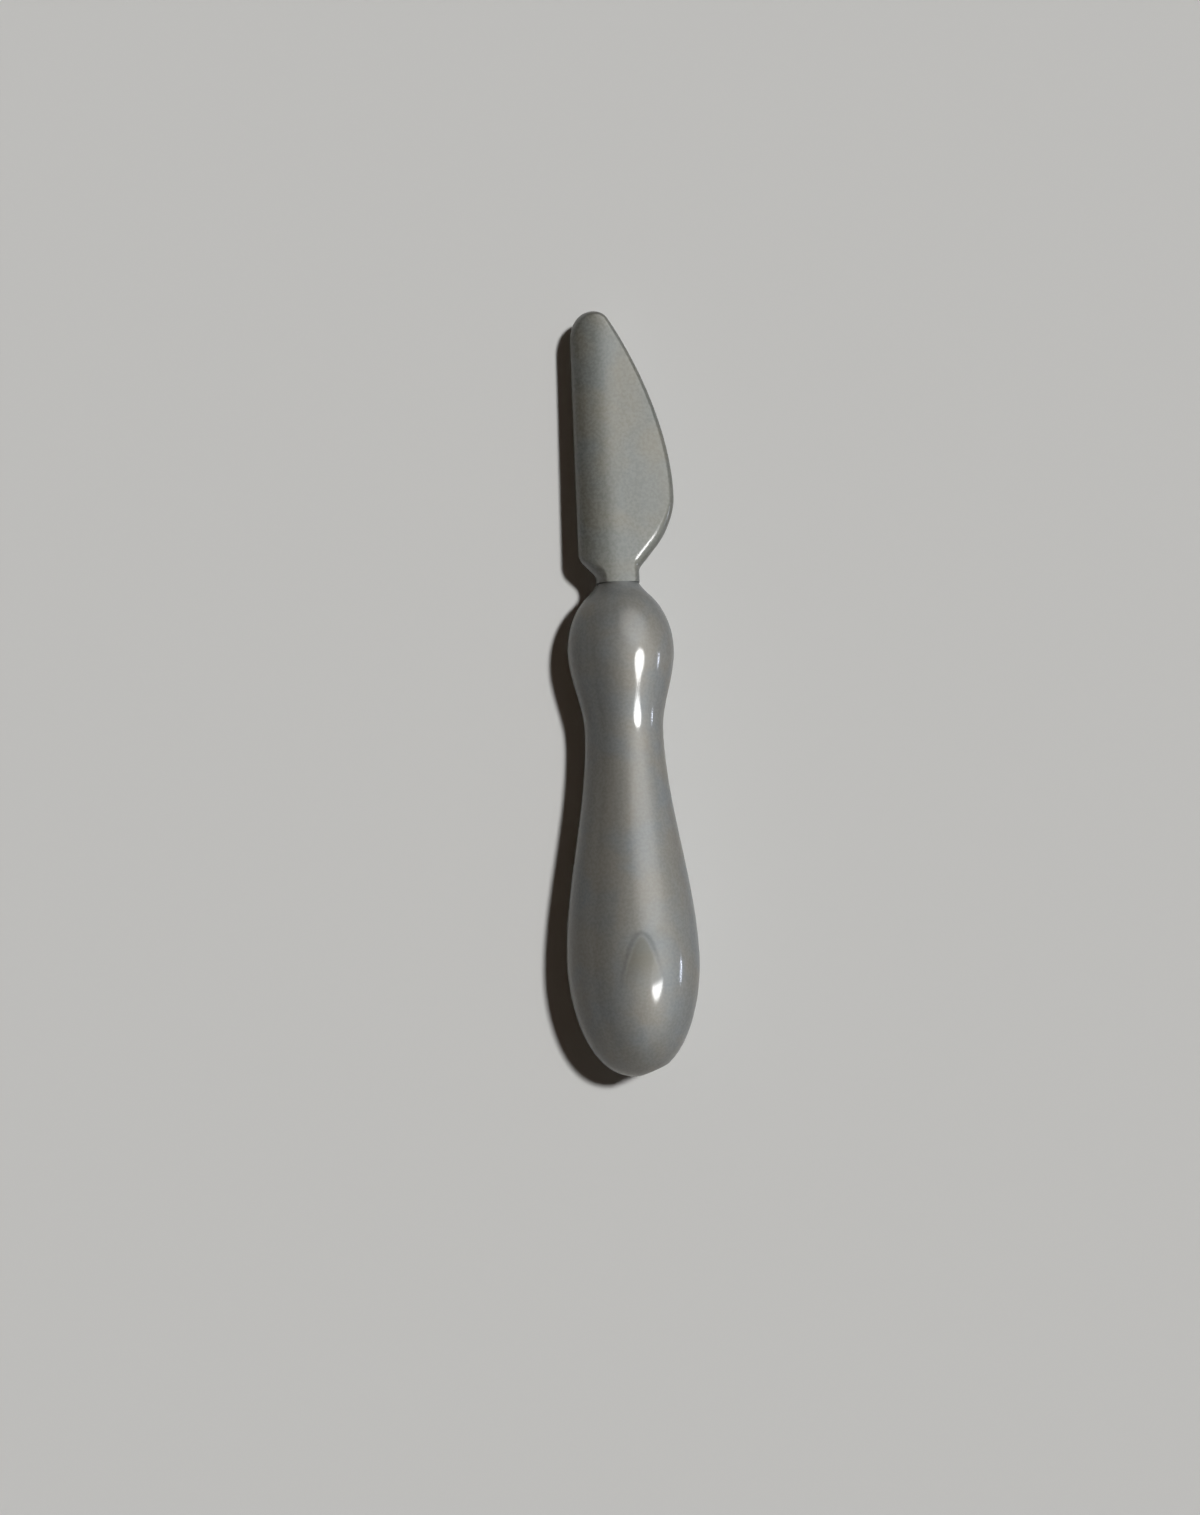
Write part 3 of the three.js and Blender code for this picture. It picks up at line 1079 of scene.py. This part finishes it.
@dataclass
class Studio:
    """The floor, the lamps and the camera at the photograph's viewing angle.

    Attributes:
        roll: How far the camera leans over to the spine's side.
        pitch: How far it leans over to the butt's side.
        yaw: How far the knife's tip turns to the left in the picture.
        distance: From the camera to the knife's axis.
        picture_centre: The picture's middle, right of and above the knife's middle in the picture.
        picture_height: What the picture's long side spans at the axis.
        sensor: The camera's sensor along that side.
        clip_start: How near the camera starts to see.
        floor_start: Where the floor touches the grip, along the knife.
        floor_rise: The floor's height under the front bulb, above that under the grip.
        floor_run: The distance between the two.
        floor_gap: How far the floor lies below where it would touch.
        floor_flat: How far the floor is flat, out from the knife.
        floor_reach: How far it goes.
        floor_sweep: How far its rim sweeps up.
        steps_sweep: How many points draw the sweep.
        steps_round: How many facets go round the floor.
        spine_side: The colour of the dim light from the spine's side.
        edge_side: The colour of the dim light from the edge's side.
        side_blend: How far to either side one gives way to the other, where 1 is the horizon.
        glow_towards: The direction to the middle of the soft overhead glow.
        glow_spread: The angle from there at which it has faded out.
        glow_strength: Its strength in the middle.
        glow_colour: Its colour.
        lamp_distance: From the knife to each lamp.
        paper: The floor's finish.
        lamps: The lamps.
    """

    roll: float = math.radians(10)
    pitch: float = math.radians(2.6)
    yaw: float = math.radians(2.3)
    distance: float = 130.0
    picture_centre: tuple[float, float] = (-0.896, -2.62)
    picture_height: float = 60.6
    sensor: float = 36.0
    clip_start: float = 5.0
    floor_start: float = -10.77
    floor_rise: float = 0.52
    floor_run: float = 12.4
    floor_gap: float = 0.02
    floor_flat: float = 250.0
    floor_reach: float = 2000.0
    floor_sweep: float = 260.0
    steps_sweep: int = 24
    steps_round: int = 96
    spine_side: str = "#3d3024"
    edge_side: str = "#343637"
    side_blend: float = 0.6
    glow_towards: tuple[float, float, float] = (0.39, 0.52, 0.76)
    glow_spread: float = math.radians(36)
    glow_strength: float = 4.0
    glow_colour: str = "#ffffff"
    lamp_distance: float = 1000.0
    paper: StudioPaper = StudioPaper("matt_studio_paper")
    lamps: tuple[Lamp, ...] = (
        Lamp("modelling_lamp", LampRole.MODELLING, (0.194, 0.178, 1.0), 2.3, (5.0, 5.0)),
        Lamp("window_lamp", LampRole.HIGHLIGHT, (0.507, -0.186, 0.842), 18.3, (21.0, 25.4)),
        Lamp("strip_lamp", LampRole.HIGHLIGHT, (0.98, -0.11, 0.17), 1.2, (2.6, 11.0), "#e3ebff"),
    )

    def build(self) -> None:
        """Sets up the floor, the lamps, the ambient light and the camera."""
        aim = Vector((0, 0, AXIS_HEIGHT)) * MM
        self.build_floor()
        for lamp in self.lamps:
            lamp.build(aim, self.lamp_distance * MM)
        self.build_ambient()
        bpy.context.scene.camera = self.build_camera()
        bpy.context.scene.view_settings.view_transform = "Standard"

    def build_floor(self) -> Object:
        """Lays the floor so that it touches the grip and the front bulb, as under a knife at rest.

        It is a round sheet whose rim sweeps up, so that low views see paper behind the knife too.

        Returns:
            The floor.
        """
        flat = Vector((self.floor_flat, 0, 0))
        rim = Vector((self.floor_reach, 0, self.floor_sweep))
        elbow = Vector(((flat.x + rim.x) / 2, 0, 0))
        bm = bmesh.new()
        sweep = turn(flat, elbow, rim, self.steps_sweep)
        sheet = [bm.verts.new(point) for point in (Vector(), *sweep)]
        for pair in pairwise(sheet):
            bm.edges.new(pair)
        bmesh.ops.spin(
            bm, geom=bm.verts[:] + bm.edges[:], cent=(0, 0, 0), axis=(0, 0, 1),
            angle=math.tau, steps=self.steps_round, use_merge=True,
        )
        tilt = Matrix.Rotation(math.atan2(self.floor_rise, self.floor_run), 3, "X")
        bmesh.ops.rotate(bm, cent=(0, 0, 0), matrix=tilt, verts=bm.verts)
        bmesh.ops.translate(bm, vec=(0, self.floor_start, -self.floor_gap), verts=bm.verts)
        floor = finish_mesh(bm, "floor", math.pi)
        floor.data.materials.append(self.paper.material())
        return floor

    def build_ambient(self) -> None:
        """Gives the world its dim light, and a soft glow overhead that only reflections show."""
        world = bpy.data.worlds.new("studio_ambient")
        world.use_nodes = True
        tree = world.node_tree
        tree.nodes.clear()
        away = add_node(tree, "ShaderNodeTexCoord").outputs["Generated"]
        facing = add_node(tree, "ShaderNodeVectorMath", {
            0: away, 1: Vector(self.glow_towards).normalized(),
        }, operation="DOT_PRODUCT")
        glow = add_node(tree, "ShaderNodeMapRange", {
            "Value": facing, "From Min": math.cos(self.glow_spread), "To Max": self.glow_strength,
        }, interpolation_type="SMOOTHSTEP")
        glossy = add_node(tree, "ShaderNodeLightPath").outputs["Is Glossy Ray"]
        seen = add_node(tree, "ShaderNodeMath", {0: glow, 1: glossy}, operation="MULTIPLY")
        axes = add_node(tree, "ShaderNodeSeparateXYZ", {"Vector": away}).outputs
        side = add_node(tree, "ShaderNodeMapRange", {
            "Value": axes["X"], "From Min": -self.side_blend, "From Max": self.side_blend,
        }, interpolation_type="SMOOTHSTEP")
        shade = add_node(tree, "ShaderNodeMix", {
            "Factor": side, "A": linear(self.spine_side), "B": linear(self.edge_side),
        }, data_type="RGBA")
        dim = add_node(tree, "ShaderNodeBackground", {"Color": shade})
        bright = add_node(tree, "ShaderNodeBackground", {
            "Color": linear(self.glow_colour), "Strength": seen,
        })
        both = add_node(tree, "ShaderNodeAddShader", {0: dim, 1: bright})
        add_node(tree, "ShaderNodeOutputWorld", {"Surface": both})
        bpy.context.scene.world = world

    def build_camera(self) -> Object:
        """Places the camera where the photograph was taken from.

        Returns:
            The camera.
        """
        data = bpy.data.cameras.new("photo_camera")
        data.sensor_width = self.sensor
        data.lens = self.sensor * self.distance / self.picture_height
        data.clip_start = self.clip_start * MM
        camera = bpy.data.objects.new("photo_camera", data)
        view = (
            Matrix.Rotation(self.yaw, 3, "Z")
            @ Matrix.Rotation(-self.pitch, 3, "X")
            @ Matrix.Rotation(self.roll, 3, "Y")
        )
        stand = view.transposed() @ Vector((*self.picture_centre, self.distance))
        place = Vector((0, 0, AXIS_HEIGHT)) + stand
        camera.matrix_world = Matrix.Translation(place * MM) @ view.transposed().to_4x4()
        bpy.context.scene.collection.objects.link(camera)
        return camera


def main() -> None:
    """Builds the studio and the knife, and reports each piece."""
    logging.basicConfig(level=logging.INFO, format="%(name)s: %(message)s")
    studio = Studio()
    studio.build()
    log.info("studio: floor, %d lamps and camera", len(studio.lamps))
    for piece in (Blade(), Handle()):
        made = piece.make()
        log.info("%s: %d faces", made.name, len(made.data.polygons))


if __name__ == "__main__":
    main()
